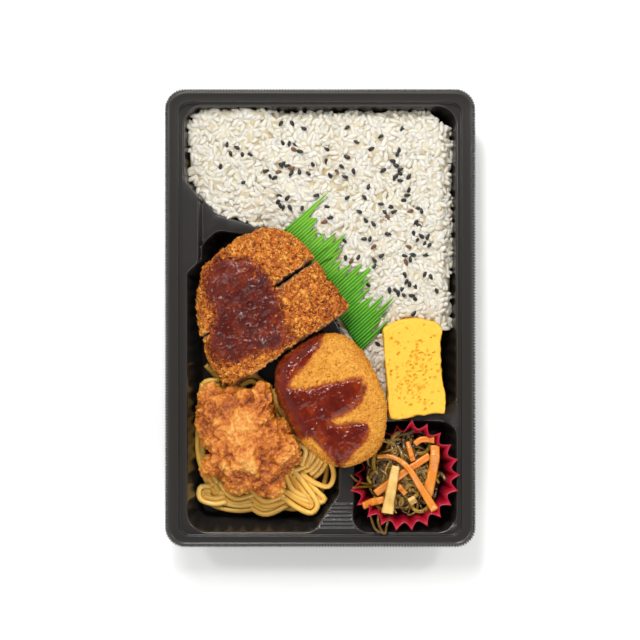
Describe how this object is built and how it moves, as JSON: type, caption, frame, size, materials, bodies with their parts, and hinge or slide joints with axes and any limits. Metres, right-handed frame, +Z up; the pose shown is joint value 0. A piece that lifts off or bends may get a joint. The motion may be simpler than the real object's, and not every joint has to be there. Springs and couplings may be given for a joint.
{
  "type": "takeaway bento meal",
  "caption": "Takeaway bento meal in a black formed tray: sesame rice, grass divider, sliced cutlet, croquette, fried chicken on noodles, omelette, and kelp salad in a red pleated cup.",
  "frame": {"origin": "on the table, under the middle of the tray's rim", "axes": "+Z up, +Y along the tray's length towards the rice end, +X across the tray"},
  "size_m": [0.179, 0.264, 0.0467],
  "materials": {
    "tray_plastic": "satin black, glossy in the wells",
    "rice": "moist cooked rice with black sesame",
    "leaf_film": "thin bright green film with printed veins",
    "cutlet_crust": "coarse fried crumb with dark glossy sauce",
    "croquette_crust": "fine golden crumb with dark glossy sauce",
    "chicken_crust": "craggy fried batter, slightly oily",
    "noodle": "oiled boiled noodles",
    "omelette": "porous cut egg",
    "cup_film": "crimson film",
    "kelp": "glossy cooked kelp strands",
    "carrot": "cooked carrot",
    "fried_tofu": "soft fried tofu skin"
  },
  "bodies": {
    "root": {"tray": "tray_plastic", "rice": "rice", "grass_divider": "leaf_film", "cutlet_slice_1": "cutlet_crust", "cutlet_slice_2": "cutlet_crust", "croquette": "croquette_crust", "fried_chicken": "chicken_crust", "noodles": "noodle", "omelette_slice": "omelette", "pleated_cup": "cup_film", "kelp_salad": "kelp", "carrot_1": "carrot", "carrot_2": "carrot", "carrot_3": "carrot", "carrot_4": "carrot", "carrot_5": "carrot", "carrot_6": "carrot", "carrot_7": "carrot", "tofu_1": "fried_tofu", "tofu_2": "fried_tofu"}
  },
  "joints": []
}
